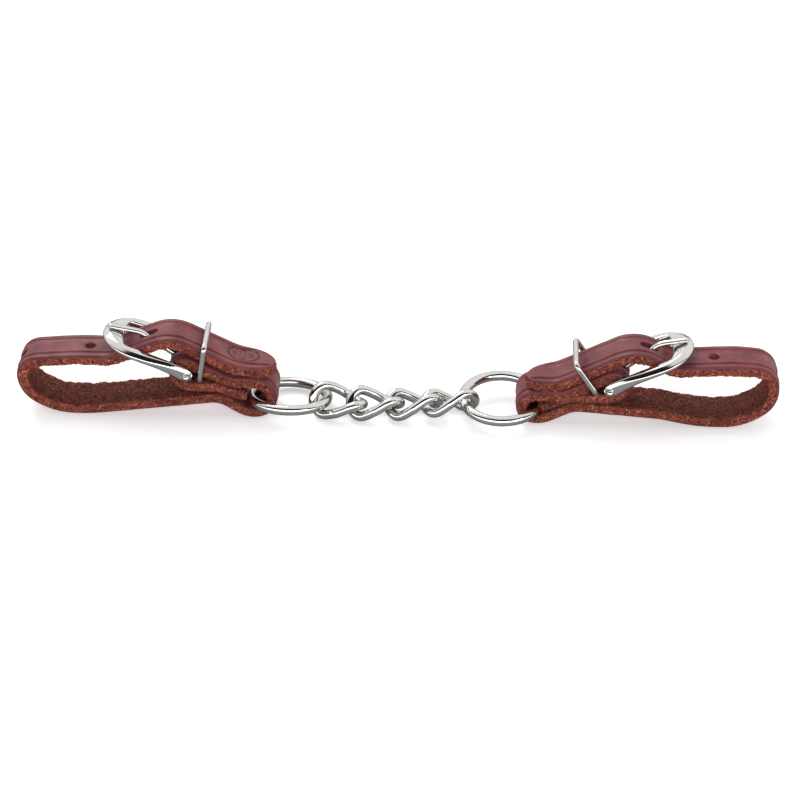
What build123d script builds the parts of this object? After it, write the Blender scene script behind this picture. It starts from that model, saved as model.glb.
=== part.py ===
"""Curb strap: a short twisted-link chain between two buckled leather loops.

Frame: +X runs along the strap from the left loop to the right loop, +Y points away from
the viewer and +Z is up. The origin is under the middle of the object, on the surface that
it lies on. All sizes are in millimetres.
"""

import os
from dataclasses import dataclass
from math import cos, pi, radians, sin, tan

from build123d import *

# ---- leather ---------------------------------------------------------------------------
LEATHER = 4.0  # thickness of the strap leather
STRAP_WIDTH = 16.0  # 5/8 inch strap
TIP_CORNER = 7.0  # rounding of the free end, seen from above
HOLE_DIAMETER = 4.2  # punched adjustment holes
HOLE_SPACING = 25.4  # centre to centre along the strap
TONGUE_SLOT = 15.0  # length of the punched hole that the tongue has pulled long
PLY_GAP = 0.3  # free gap kept between two plies of one strap

# ---- rings -----------------------------------------------------------------------------
RING_BORE = 25.4  # 1 inch inside
RING_WIRE = 3.9
RING_BED = 0.9  # play between the ring and the leather that holds it

# ---- twisted curb links ----------------------------------------------------------------
LINK_WIRE = 3.7
LINK_END_RADIUS = 6.0  # centreline radius of each rounded end
LINK_SPAN = 7.3  # distance between the centres of the two end curves
LINK_TWIST = 46.0  # half of the twist from one end to the other, degrees
LINK_BOW = 1.03  # how far the middle of each side stands out, as a share of the end radius

# ---- buckle ----------------------------------------------------------------------------
BAR_DIAMETER = 3.8
BAR_PLAY = 0.3  # between the heel bar and the leather folded round it
BALL_DIAMETER = 3.0  # peened end of the heel bar
FRAME_LENGTH = 35.0  # from the heel bar to the outer rim
FRAME_THICKNESS = 2.8
FRAME_SPREAD = 6.0  # how far the outer rim stands out past the strap's edge
FRAME_SIDE_PLAY = 0.6  # between the strap's edge and the frame's opening
FRAME_HEEL_WALL = 2.4  # width of each arm where it holds the heel bar
FRAME_CRESCENT = 8.0  # width of the flat outer end
FRAME_SEAT_WALL = 0.9  # metal round the heel bar in each arm
TONGUE_WIRE = 2.2
TONGUE_EYE_WIDTH = 3.0
TONGUE_EYE_WALL = 1.5
EYE_PLAY = 0.06  # running fit of the tongue's eye on the heel bar
TONGUE_REST = 0.3  # gap between the tongue and the frame that it lies on

# ---- keeper ----------------------------------------------------------------------------
KEEPER_WIRE = 2.2
KEEPER_HEIGHT = 15.0  # between the centres of its two long sides
KEEPER_SIDE_PLAY = 0.6
KEEPER_CORNER = 2.0  # centreline radius of its corners
KEEPER_JOINT = 0.015  # open seam where the wire's ends meet, as a share of its half width

# ---- rivet -----------------------------------------------------------------------------
RIVET_STEM = 2.6
RIVET_HEAD = 6.0
RIVET_HEAD_HEIGHT = 0.9
RIVET_SINK = 0.5  # how far each head is drawn into the leather
RIVET_FIT = 0.02

RING_RADIUS = (RING_BORE + RING_WIRE) / 2
HALF_WIDTH = STRAP_WIDTH / 2
FRAME_HALF_WIDTH = HALF_WIDTH + FRAME_SPREAD
BAR_TO_PLY = BAR_DIAMETER / 2 + BAR_PLAY + LEATHER / 2


@dataclass(frozen=True)
class StrapEnd:
    """One buckled loop, measured outwards from the middle of the object (u) and up (z)."""

    name: str
    side: int  # -1 for the left end, +1 for the right end
    ring_hook: float  # u of the ring's wire where the chain hooks in
    ring_seat: float  # u of the ring's wire in the fold, as the strap is drawn
    ring_middle: tuple  # y and z of the ring's centre
    ring_angles: tuple  # roll about X and pitch about Y, degrees
    fold_nose: float  # u of the outer face of the fold that holds the ring
    fold_room: float  # free height inside that fold
    bar_at: tuple  # u, z of the heel bar
    heel_nose: float  # u of the centre of the leather where it folds round the heel bar
    heel_slope: float  # slope of the ply that comes down from the heel bar, degrees
    inner_ply: tuple  # u, z of the corners of the ply inside the stack, ring end first
    inner_thickness: tuple  # its thickness at those corners
    bottom_corners: tuple  # u, rise above the resting surface, radius
    loop_corners: tuple  # u, height of the leather's centre, radius
    arch_corners: tuple  # same, from the billet over the heel bar to the tip
    tip_end: float  # u of the free end
    hole_from_tip: float  # distance along the strap from the tip to the tongue's hole
    slot_middle: float  # u of the middle of the tongue's pulled hole
    slot_floor: float  # z between the arch and the plies below it
    rivet_at: tuple  # u, z of the rivet's middle
    rivet_tilt: float  # lean of the rivet away from vertical, degrees
    rivet_grip: float  # leather held between the two heads
    frame_slope: float  # slope of the buckle frame, degrees
    tongue_bend: tuple  # u, z where the tongue bends down on to the frame
    keeper_at: tuple  # u, z of the keeper's lower side
    keeper_tilt: float  # lean of the keeper towards the ring, degrees


LEFT = StrapEnd(
    name="left",
    side=-1,
    ring_hook=26.75,
    ring_seat=56.05,
    ring_middle=(-0.6, 5.61),
    ring_angles=(-10.8, 1.4),
    fold_nose=45.3,
    fold_room=9.7,
    bar_at=(79.6, 19.6),
    heel_nose=84.9,
    heel_slope=28.0,
    inner_ply=((57.0, 9.5), (60.6, 9.8), (68.4, 13.0), (75.0, 13.1)),
    inner_thickness=(3.9, 3.8, 3.8, LEATHER),
    bottom_corners=((57.3, 0.0, 8.0), (67.6, 6.5, 9.0), (117.0, 0.0, 60.0)),
    loop_corners=((130.5, 2.0, 25.0), (143.1, 9.9, 11.8), (143.1, 22.7, 6.2), (123.0, 24.5, 60.0)),
    arch_corners=((107.8, 24.5, 16.0), (85.6, 34.0, 13.0), (61.4, 21.3, 12.0)),
    tip_end=46.2,
    hole_from_tip=49.5,
    slot_middle=94.0,
    slot_floor=24.6,
    rivet_at=(66.0, 12.1),
    rivet_tilt=18.0,
    rivet_grip=13.2,
    frame_slope=23.5,
    tongue_bend=(97.8, 32.9),
    keeper_at=(74.8, 17.0),
    keeper_tilt=9.0,
)

RIGHT = StrapEnd(
    name="right",
    side=1,
    ring_hook=25.45,
    ring_seat=54.75,
    ring_middle=(-0.3, 6.49),
    ring_angles=(3.9, 0.0),
    fold_nose=45.4,
    fold_room=6.8,
    bar_at=(80.9, 16.8),
    heel_nose=86.8,
    heel_slope=27.0,
    inner_ply=((54.6, 7.2), (57.5, 7.6), (66.5, 11.4), (76.0, 11.6)),
    inner_thickness=(3.2, 2.8, 2.8, LEATHER),
    bottom_corners=((56.1, 0.0, 8.0), (67.3, 5.8, 9.0), (101.5, 2.95, 40.0), (114.3, 0.0, 50.0)),
    loop_corners=((131.2, 2.0, 22.0), (143.0, 10.6, 11.0), (143.0, 24.7, 7.6), (128.0, 25.8, 60.0)),
    arch_corners=((104.4, 24.3, 14.0), (90.5, 32.3, 14.0), (61.5, 17.2, 12.0)),
    tip_end=49.3,
    hole_from_tip=49.5,
    slot_middle=96.0,
    slot_floor=22.9,
    rivet_at=(64.0, 9.6),
    rivet_tilt=20.0,
    rivet_grip=11.6,
    frame_slope=27.0,
    tongue_bend=(99.5, 32.3),
    keeper_at=(76.0, 15.05),
    keeper_tilt=33.0,
)

# centre, then roll about X, pitch about Y and yaw about Z in degrees
LINK_POSES = (
    ((-22.40, -4.02, 5.93), (17.95, 4.8, -1.3)),
    ((-8.17, -4.08, 5.53), (-0.2, -0.9, 2.0)),
    ((6.40, -3.84, 5.61), (-11.4, -4.0, 3.95)),
    ((20.31, -3.06, 6.21), (-24.2, -4.25, 4.6)),
)


def unit(angle: float) -> Vector:
    """Unit vector in the side view, at an angle above the outward direction."""
    return Vector(cos(radians(angle)), 0, sin(radians(angle)))


def side_point(point: tuple) -> Vector:
    """A point of the side view, given as u and z."""
    return Vector(point[0], 0, point[1])


# ---- strap -----------------------------------------------------------------------------
def strap_corners(end: StrapEnd) -> list:
    """Corners (u, z, radius) of the leather's centreline, from the inner ply to the tip."""
    half = LEATHER / 2
    fold_radius = (end.fold_room + LEATHER) / 2
    nose = end.fold_nose + half
    ply_height = LEATHER + end.fold_room + half
    slope = tan(radians(end.heel_slope))
    over_bar = side_point(end.bar_at) + unit(90 + end.heel_slope) * BAR_TO_PLY
    heel_top = over_bar.Z + slope * (end.heel_nose - over_bar.X)
    slope_foot = over_bar.X - (over_bar.Z - ply_height) / slope
    last_inner = end.inner_ply[-1]
    before_last = end.inner_ply[-2]
    lean = (last_inner[1] - before_last[1]) / (last_inner[0] - before_last[0])
    heel_bottom = last_inner[1] + lean * (end.heel_nose - last_inner[0])
    heel_reach = BAR_TO_PLY * tan(radians(90 + end.heel_slope) / 2)
    heel_lower = 0.97 * (heel_top - heel_bottom - heel_reach)
    corners = [(*last_inner, 0)]
    corners += [(end.heel_nose, heel_bottom, heel_lower), (end.heel_nose, heel_top, BAR_TO_PLY)]
    corners += [(slope_foot, ply_height, 12.0)]
    corners += [(nose, ply_height, fold_radius - 0.02), (nose, half, fold_radius - 0.02)]
    corners += [(u, half + rise, radius) for u, rise, radius in end.bottom_corners]
    corners += list(end.loop_corners)
    corners += list(end.arch_corners)
    corners += [(end.tip_end, end.arch_corners[-1][1], 0)]
    return corners


def offset_ply(points: tuple, thickness: tuple) -> list:
    """Outline of a ply whose thickness changes from point to point."""
    upper = [(u, z + t / 2) for (u, z), t in zip(points, thickness)]
    lower = [(u, z - t / 2) for (u, z), t in zip(points, thickness)]
    return upper + lower[::-1]


def ring_location(end: StrapEnd) -> Location:
    """Where the ring lies in its fold, with the end drawn on the +X side."""
    y, z = end.ring_middle
    roll, pitch = end.ring_angles
    return Location((end.ring_seat - RING_RADIUS, y, z), (roll, end.side * pitch, 0), Extrinsic.XYZ)


def make_rivet(end: StrapEnd, fit: float) -> Part:
    """The rivet through the stack, with an allowance all round."""
    middle = side_point(end.rivet_at)
    along = unit(90 + end.rivet_tilt)
    grip = end.rivet_grip / 2 - RIVET_SINK
    with BuildPart() as rivet:
        with BuildSketch(Plane(middle, z_dir=along)):
            Circle(RIVET_STEM / 2 + fit)
        extrude(amount=grip, both=True)
        for way in (1, -1):
            with BuildSketch(Plane(middle + along * way * (grip - fit), z_dir=along * way)):
                Circle(RIVET_HEAD / 2 + fit)
            head = extrude(amount=RIVET_HEAD_HEIGHT + 2 * fit)
            if not fit:
                rim = head.faces().sort_by(Axis(middle, along * way))[-1]
                fillet(rim.edges(), RIVET_HEAD_HEIGHT * 0.6)
    return rivet.part


def make_strap(end: StrapEnd) -> Part:
    """One strap: stack of plies, fold round the ring, loop, arch over the heel bar and tip."""
    corners = strap_corners(end)
    bar = side_point(end.bar_at)
    ply_top = 2 * LEATHER + end.fold_room
    rivet_hole = make_rivet(end, RIVET_FIT)
    with BuildPart() as strap:
        with BuildSketch(Plane.XZ):
            with BuildLine():
                path = FilletPolyline(
                    *[(u, z) for u, z, _ in corners],
                    radius=[radius for _, _, radius in corners[1:-1]],
                )
            trace(path, line_width=LEATHER)
            with BuildLine():
                Polyline(*offset_ply(end.inner_ply, end.inner_thickness), close=True)
            make_face()
        extrude(amount=HALF_WIDTH, both=True)
        # the leather is hollowed where the ring beds in it
        with Locations(ring_location(end)):
            Torus(RING_RADIUS, RING_WIRE / 2 + RING_BED, mode=Mode.SUBTRACT)
        # rounded tip
        with BuildSketch(Plane.XY.offset(ply_top + PLY_GAP / 3)):
            with Locations((end.tip_end, 0)):
                Rectangle(2 * TIP_CORNER, STRAP_WIDTH + 2)
            with Locations((end.tip_end + TIP_CORNER, 0)):
                Ellipse(TIP_CORNER, HALF_WIDTH, mode=Mode.SUBTRACT)
        extrude(amount=3 * LEATHER, mode=Mode.SUBTRACT)
        # slot in the heel fold for the tongue's eye
        eye_radius = BAR_DIAMETER / 2 + EYE_PLAY + TONGUE_EYE_WALL
        room = eye_radius + 0.5
        with BuildSketch(Plane.XZ):
            with BuildLine():
                Polyline(
                    (bar.X - room, bar.Z - room),
                    (end.heel_nose + LEATHER, bar.Z - room),
                    (end.heel_nose + LEATHER, bar.Z + 2 * room),
                    (bar.X - room, bar.Z + 1.4 * room),
                    close=True,
                )
            make_face()
        extrude(amount=TONGUE_EYE_WIDTH / 2 + 0.5, both=True, mode=Mode.SUBTRACT)
        # the tongue's hole, pulled long
        with BuildSketch(Plane.XY.offset(end.slot_floor)):
            with Locations((end.slot_middle, 0)):
                SlotOverall(TONGUE_SLOT, HOLE_DIAMETER)
        extrude(amount=4 * LEATHER, mode=Mode.SUBTRACT)
        # spare holes further round the loop
        for step in (1, 2):
            from_start = path.length - end.hole_from_tip - step * HOLE_SPACING
            middle = path.position_at(from_start, position_mode=PositionMode.LENGTH)
            along = path.tangent_at(from_start, position_mode=PositionMode.LENGTH)
            through = Vector(along.X, 0, along.Y).cross(Vector(0, 1, 0))
            with BuildSketch(Plane(Vector(middle.X, 0, middle.Y), z_dir=through)):
                Circle(HOLE_DIAMETER / 2)
            extrude(amount=LEATHER, both=True, mode=Mode.SUBTRACT)
        add(rivet_hole, mode=Mode.SUBTRACT)
    return strap.part


# ---- ring ------------------------------------------------------------------------------
def make_ring(end: StrapEnd) -> Part:
    """Round welded ring."""
    with BuildPart() as ring:
        with Locations(ring_location(end)):
            Torus(RING_RADIUS, RING_WIRE / 2)
    return ring.part


# ---- buckle ----------------------------------------------------------------------------
def frame_plane(end: StrapEnd) -> Plane:
    """Plane of the buckle frame: local X runs from the heel bar to the outer rim."""
    return Plane(side_point(end.bar_at), x_dir=unit(end.frame_slope), z_dir=unit(90 + end.frame_slope))


def make_frame(end: StrapEnd) -> Part:
    """Cast oval frame: a wide flat crescent, two narrowing arms and the heel bar's seats."""
    inner = HALF_WIDTH + FRAME_SIDE_PLAY
    heel = inner + FRAME_HEEL_WALL
    widest = FRAME_LENGTH * 0.62
    with BuildPart() as frame:
        with BuildSketch(frame_plane(end)):
            with BuildLine():
                Spline(
                    (-2.4, heel - 0.4),
                    (6.0, heel + 0.4),
                    (widest, FRAME_HALF_WIDTH),
                    (FRAME_LENGTH, 0),
                    (widest, -FRAME_HALF_WIDTH),
                    (6.0, -heel - 0.4),
                    (-2.4, -heel + 0.4),
                )
                Line((-2.4, heel - 0.4), (-2.4, -heel + 0.4))
            make_face()
            with BuildLine():
                reach = FRAME_LENGTH - FRAME_CRESCENT
                shoulder = reach - 1.0
                Line((shoulder, -inner), (-3.5, -inner))
                Line((-3.5, -inner), (-3.5, inner))
                Line((-3.5, inner), (shoulder, inner))
                ThreePointArc((shoulder, inner), (reach, 0), (shoulder, -inner))
            make_face(mode=Mode.SUBTRACT)
        extrude(amount=FRAME_THICKNESS / 2, both=True)
        upper = frame.faces().sort_by(Axis(side_point(end.bar_at), unit(90 + end.frame_slope)))[-1]
        chamfer(upper.outer_wire().edges(), 0.7)
        for seat in (Plane.XZ.offset(inner), Plane.XZ.offset(-heel)):
            with BuildSketch(seat):
                with Locations(end.bar_at):
                    Circle(BAR_DIAMETER / 2 + FRAME_SEAT_WALL)
            extrude(amount=FRAME_HEEL_WALL)
        with BuildSketch(Plane.XZ):
            with Locations(end.bar_at):
                Circle(BAR_DIAMETER / 2)
        extrude(amount=heel + 1, both=True, mode=Mode.SUBTRACT)
    return frame.part


def make_heel_bar(end: StrapEnd) -> Part:
    """Round bar across the frame, with a small peened ball at each end."""
    u, z = end.bar_at
    reach = HALF_WIDTH + FRAME_SIDE_PLAY + FRAME_HEEL_WALL
    with BuildPart() as heel_bar:
        with BuildSketch(Plane.XZ):
            with Locations((u, z)):
                Circle(BAR_DIAMETER / 2)
        extrude(amount=reach, both=True)
        with Locations((u, reach, z), (u, -reach, z)):
            Sphere(BALL_DIAMETER / 2)
    return heel_bar.part


def make_tongue(end: StrapEnd) -> Part:
    """Bent wire tongue: an eye on the heel bar, a steep shank and a tip on the crescent."""
    bar = side_point(end.bar_at)
    bend = side_point(end.tongue_bend)
    eye_bore = BAR_DIAMETER / 2 + EYE_PLAY
    over_frame = FRAME_THICKNESS / 2 + TONGUE_REST + TONGUE_WIRE / 2
    tip = frame_plane(end).from_local_coords(Vector(FRAME_LENGTH - 1.0, 0, over_frame))
    start = bar + (bend - bar).normalized() * (eye_bore + TONGUE_EYE_WALL / 2)
    with BuildPart() as tongue:
        with BuildLine():
            shank = FilletPolyline(start, bend, tip, radius=5)
        with BuildSketch(Plane(start, z_dir=bend - start)):
            Circle(TONGUE_WIRE / 2)
        sweep(path=shank)
        fillet(tongue.faces().sort_by(Axis(start, tip - start))[-1].edges(), 0.4 * TONGUE_WIRE)
        with BuildSketch(Plane.XZ):
            with Locations(end.bar_at):
                Circle(eye_bore + TONGUE_EYE_WALL)
        extrude(amount=TONGUE_EYE_WIDTH / 2, both=True)
        with BuildSketch(Plane.XZ):
            with Locations(end.bar_at):
                Circle(eye_bore)
        extrude(amount=TONGUE_EYE_WIDTH, both=True, mode=Mode.SUBTRACT)
    return tongue.part


# ---- keeper ----------------------------------------------------------------------------
def make_keeper(end: StrapEnd) -> Part:
    """Rectangular wire loop: its lower side lies in the heel fold, its upper side on the tip."""
    lower = side_point(end.keeper_at)
    up = unit(90 + end.keeper_tilt)
    wide = Vector(0, HALF_WIDTH + KEEPER_SIDE_PLAY + KEEPER_WIRE / 2, 0)
    upper = lower + up * KEEPER_HEIGHT
    with BuildPart() as keeper:
        with BuildLine():
            half_loop = FilletPolyline(
                lower + wide * KEEPER_JOINT, lower + wide, upper + wide, upper, radius=KEEPER_CORNER
            )
        with BuildSketch(Plane(lower + wide * KEEPER_JOINT, z_dir=wide)):
            Circle(KEEPER_WIRE / 2)
        sweep(path=half_loop)
        mirror(about=Plane.XZ)
    return keeper.part


# ---- chain links -----------------------------------------------------------------------
def link_corner(angle: float) -> Vector:
    """Corner of the polygon round the twisted link, by its angle about the right end curve."""
    outer = LINK_END_RADIUS / cos(pi / 8)
    x = LINK_SPAN / 2 + outer * cos(radians(angle))
    across = outer * sin(radians(angle))
    twist = radians(LINK_TWIST) * min(1, x / (LINK_SPAN / 2 + 0.6 * LINK_END_RADIUS))
    return Vector(x, across * cos(twist), -across * sin(twist))


def round_radii(points: list) -> list:
    """Largest even fillet radii for a chain of points, which leave short straight runs."""
    radii = []
    for before, corner, after in zip(points, points[1:], points[2:]):
        arriving = corner - before
        leaving = after - corner
        turn = radians(arriving.get_angle(leaving))
        radii.append(0.47 * min(arriving.length, leaving.length) / tan(turn / 2))
    return radii


def make_link() -> Part:
    """One twisted curb link about the origin; its near side rises from left to right."""
    near = [link_corner(angle) for angle in (-67.5, -22.5)]
    far = [link_corner(angle) for angle in (22.5, 67.5)]
    side = Vector(0, -LINK_END_RADIUS * LINK_BOW, 0)
    opposite = Vector(-far[-1].X, -far[-1].Y, far[-1].Z)
    start = (opposite + side) * 0.5
    finish = Vector(-start.X, -start.Y, start.Z)
    points = [start, side, *near, *far, finish]
    radii = round_radii([opposite, *points[1:-1], Vector(0, -side.Y, 0)])
    with BuildPart() as half_link:
        with BuildLine():
            wire = FilletPolyline(*points, radius=radii)
        with BuildSketch(Plane(start, z_dir=side - start)):
            Circle(LINK_WIRE / 2)
        sweep(path=wire)
    with BuildPart() as whole_link:
        add(half_link.part)
        add(half_link.part.rotate(Axis.Z, 180))
    return whole_link.part


# ---- assembly --------------------------------------------------------------------------
def finish_part(shape: Part, name: str) -> None:
    """Labels one finished piece and writes it."""
    shape.label = name
    export_step(shape, f"parts/{name}.step")


os.makedirs("parts", exist_ok=True)

for end in (LEFT, RIGHT):
    # a larger ring moves its whole end outwards, so that it still hooks into the chain
    outwards = end.ring_hook + 2 * RING_RADIUS - end.ring_seat
    pieces = {
        "strap": make_strap(end),
        "rivet": make_rivet(end, 0),
        "ring": make_ring(end),
        "buckle_frame": make_frame(end),
        "heel_bar": make_heel_bar(end),
        "tongue": make_tongue(end),
        "keeper": make_keeper(end),
    }
    for piece, shape in pieces.items():
        with BuildPart() as placed:
            with Locations((end.side * outwards, 0, 0)):
                add(shape if end.side > 0 else shape.mirror(Plane.YZ))
        finish_part(placed.part, f"{end.name}_{piece}")

link = make_link()
for number, (centre, angles) in enumerate(LINK_POSES, start=1):
    with BuildPart() as chain_link:
        with Locations(Location(centre, angles, Extrinsic.XYZ)):
            add(link)
    finish_part(chain_link.part, f"chain_link_{number}")
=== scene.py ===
"""Curb strap: two buckled leather loops joined by round rings and a twisted-link chain.

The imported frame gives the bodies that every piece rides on. Each sub-assembly below is a class
that holds its own sizes in millimetres, in the frame's directions: +X runs along the strap, +Y
away from the near edge and +Z up from the floor. An end of the strap is drawn outwards from the
middle of the object (u) and turned to its own side when its mesh is made.
"""

import logging
import math
from dataclasses import dataclass
from enum import Enum
from typing import Sequence

import bpy
import numpy as np
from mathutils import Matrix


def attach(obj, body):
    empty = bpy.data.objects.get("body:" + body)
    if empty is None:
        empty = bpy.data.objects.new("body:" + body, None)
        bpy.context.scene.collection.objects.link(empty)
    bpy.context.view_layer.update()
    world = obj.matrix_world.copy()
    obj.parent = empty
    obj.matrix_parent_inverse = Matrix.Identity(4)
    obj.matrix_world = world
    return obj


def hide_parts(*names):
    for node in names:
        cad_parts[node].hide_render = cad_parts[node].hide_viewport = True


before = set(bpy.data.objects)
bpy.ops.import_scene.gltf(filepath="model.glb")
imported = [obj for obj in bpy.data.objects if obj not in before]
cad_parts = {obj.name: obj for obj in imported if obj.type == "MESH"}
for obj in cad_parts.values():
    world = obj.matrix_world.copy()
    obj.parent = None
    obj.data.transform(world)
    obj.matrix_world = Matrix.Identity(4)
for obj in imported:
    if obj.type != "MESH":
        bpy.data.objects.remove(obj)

LOG = logging.getLogger("curb_strap")
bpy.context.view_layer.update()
MM = 0.001

LEATHER = 4.0
STRAP_WIDTH = 16.0
HALF_WIDTH = STRAP_WIDTH / 2
HOLE_RADIUS = 2.1
HOLE_SPACING = 25.4
RING_RADIUS = 14.65
RING_WIRE = 3.9
LINK_WIRE = 3.7
BAR_RADIUS = 1.9
BAR_TO_PLY = BAR_RADIUS + 0.3 + LEATHER / 2
TONGUE_WIRE = 2.2
KEEPER_WIRE = 2.2

# Swings of a ring in its fold, in degrees, that its bed in the leather leaves room for.
RING_SWINGS = (-15.0, -7.5, 7.5, 15.0, 0.0)

# Middle (x, y, z) and roll, pitch and yaw of each link, from left to right.
LINK_PLACES = (
    ((-22.40, -4.02, 5.93), (17.95, 4.8, -1.3)),
    ((-8.17, -4.08, 5.53), (-0.2, -0.9, 2.0)),
    ((6.40, -3.84, 5.61), (-11.4, -4.0, 3.95)),
    ((20.31, -3.06, 6.21), (-24.2, -4.25, 4.6)),
)


class Side(Enum):
    """Which end of the strap a piece belongs to."""

    LEFT = -1
    RIGHT = 1

    @property
    def word(self) -> str:
        """The side's name as used in piece and body names."""
        return self.name.lower()


class Leather(Enum):
    """The surfaces of a strap, in the order of its material slots."""

    GRAIN = 0
    CUT = 1
    FLESH = 2


# ---- lines -----------------------------------------------------------------------------
def unit(angle: float) -> np.ndarray:
    """Unit vector in the side view (u, z) at an angle above the outward direction."""
    return np.array((math.cos(math.radians(angle)), math.sin(math.radians(angle))))


def turned(roll: float, pitch: float, yaw: float) -> np.ndarray:
    """Rotation matrix for a roll about X, then a pitch about Y, then a yaw about Z, in degrees."""
    a, b, c = (math.radians(angle) for angle in (roll, pitch, yaw))
    about_x = np.array(((1, 0, 0), (0, math.cos(a), -math.sin(a)), (0, math.sin(a), math.cos(a))))
    about_y = np.array(((math.cos(b), 0, math.sin(b)), (0, 1, 0), (-math.sin(b), 0, math.cos(b))))
    about_z = np.array(((math.cos(c), -math.sin(c), 0), (math.sin(c), math.cos(c), 0), (0, 0, 1)))
    return about_z @ about_y @ about_x


def soften(values: np.ndarray, spread: float, closed: bool = False) -> np.ndarray:
    """Smooths a chain of values with a bell-shaped average.

    Args:
        values: one row per evenly spaced point.
        spread: width of the bell, in points.
        closed: whether the chain joins up.

    Returns:
        The smoothed rows. An open chain keeps its ends.
    """
    reach = max(1, int(3 * spread))
    bell = np.exp(-0.5 * (np.arange(-reach, reach + 1) / spread) ** 2)
    bell /= bell.sum()
    if closed:
        padded = np.concatenate([values[-reach:], values, values[:reach]])
    else:
        head = 2 * values[0] - values[reach:0:-1]
        tail = 2 * values[-1] - values[-2:-reach - 2:-1]
        padded = np.concatenate([head, values, tail])
    columns = [np.convolve(column, bell, mode="valid") for column in padded.T]
    return np.stack(columns, axis=1)


def arc_lengths(points: np.ndarray) -> np.ndarray:
    """Distance along a chain of points, starting at zero."""
    return np.concatenate([[0.0], np.cumsum(np.linalg.norm(np.diff(points, axis=0), axis=1))])


def resample(points: np.ndarray, at: np.ndarray) -> np.ndarray:
    """Points of a chain at the given distances along it."""
    along = arc_lengths(points)
    return np.stack([np.interp(at, along, column) for column in points.T], axis=1)


def even_chain(points: np.ndarray, step: float) -> np.ndarray:
    """The same chain with points an even step apart."""
    length = arc_lengths(points)[-1]
    return resample(points, np.linspace(0, length, max(2, int(round(length / step)) + 1)))


def rounded_chain(corners: Sequence[tuple], closed: bool = False) -> np.ndarray:
    """Rounds each corner of a polygon with an arc.

    Args:
        corners: coordinates followed by the corner's radius.
        closed: whether the last corner joins the first.

    Returns:
        Points along the rounded line, closely spaced on its arcs.
    """
    table = np.array([corner[:-1] for corner in corners], float)
    radii = [corner[-1] for corner in corners]
    count = len(table)
    line = []
    for index, (corner, radius) in enumerate(zip(table, radii)):
        if not closed and index in (0, count - 1):
            line.append(corner)
            continue
        arriving = corner - table[index - 1]
        leaving = table[(index + 1) % count] - corner
        room = 0.49 * min(np.linalg.norm(arriving), np.linalg.norm(leaving))
        arriving = arriving / np.linalg.norm(arriving)
        leaving = leaving / np.linalg.norm(leaving)
        turn = math.acos(float(np.clip(arriving @ leaving, -1, 1)))
        if turn < 1e-3 or radius <= 0:
            line.append(corner)
            continue
        if closed:
            radius = min(radius, room / math.tan(turn / 2))
        inward = (leaving - arriving) / np.linalg.norm(leaving - arriving)
        onward = (leaving + arriving) / np.linalg.norm(leaving + arriving)
        centre = corner + inward * radius / math.cos(turn / 2)
        for angle in np.linspace(-turn / 2, turn / 2, max(3, int(turn / 0.06))):
            line.append(centre - inward * radius * math.cos(angle) + onward * radius * math.sin(angle))
    if closed:
        line.append(line[0])
    return np.array(line)


def ripple(points: np.ndarray, wavelength: float, seed: int) -> np.ndarray:
    """Gentle unevenness between about -1 and 1 for each point.

    Args:
        points: places in millimetres, one row each.
        wavelength: typical distance between bumps.
        seed: fixes the pattern.

    Returns:
        One value per point.
    """
    rng = np.random.default_rng(seed)
    directions = rng.normal(size=(9, points.shape[1]))
    directions /= np.linalg.norm(directions, axis=1)[:, None]
    scales = 2 * math.pi / (wavelength * rng.uniform(0.6, 1.6, 9))
    phases = rng.uniform(0, 2 * math.pi, 9)
    return np.sin(points @ (directions * scales[:, None]).T + phases).mean(axis=1) * 1.8


# ---- meshes ----------------------------------------------------------------------------
def make_mesh(name: str, points: np.ndarray, faces: list, slots: Sequence[int] = ()) -> bpy.types.Object:
    """Makes an object from points in millimetres, with its faces reversed if it is inside out.

    Args:
        name: the piece's name.
        points: one row per vertex.
        faces: vertex numbers of each face.
        slots: material slot of each face, or nothing for one slot.

    Returns:
        The new object at the origin.
    """
    volume = 0.0
    for face in faces:
        first = points[face[0]]
        for left, right in zip(face[1:-1], face[2:]):
            volume += float(first @ np.cross(points[left], points[right]))
    if volume < 0:
        faces = [face[::-1] for face in faces]
    mesh = bpy.data.meshes.new(name)
    mesh.from_pydata((points * MM).tolist(), [], faces)
    if len(slots):
        mesh.polygons.foreach_set("material_index", np.array(slots, np.int32))
    mesh.shade_smooth()
    mesh.validate()
    piece = bpy.data.objects.new(name, mesh)
    bpy.context.scene.collection.objects.link(piece)
    return piece


def grid_faces(rows: int, columns: int, closed: bool) -> list:
    """Quads between neighbouring rows of points; each row is a ring.

    Args:
        rows: how many rings there are.
        columns: points in each ring.
        closed: whether the last ring joins the first.

    Returns:
        Vertex numbers of each quad.
    """
    faces = []
    for row in range(rows if closed else rows - 1):
        here, there = row * columns, ((row + 1) % rows) * columns
        for column in range(columns):
            beside = (column + 1) % columns
            faces.append((here + column, here + beside, there + beside, there + column))
    return faces


def end_caps(rows: int, columns: int) -> list:
    """The faces that close the first and last rings. They are wound against grid_faces' quads."""
    last = (rows - 1) * columns
    return [tuple(range(columns)), tuple(range(last + columns - 1, last - 1, -1))]


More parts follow.
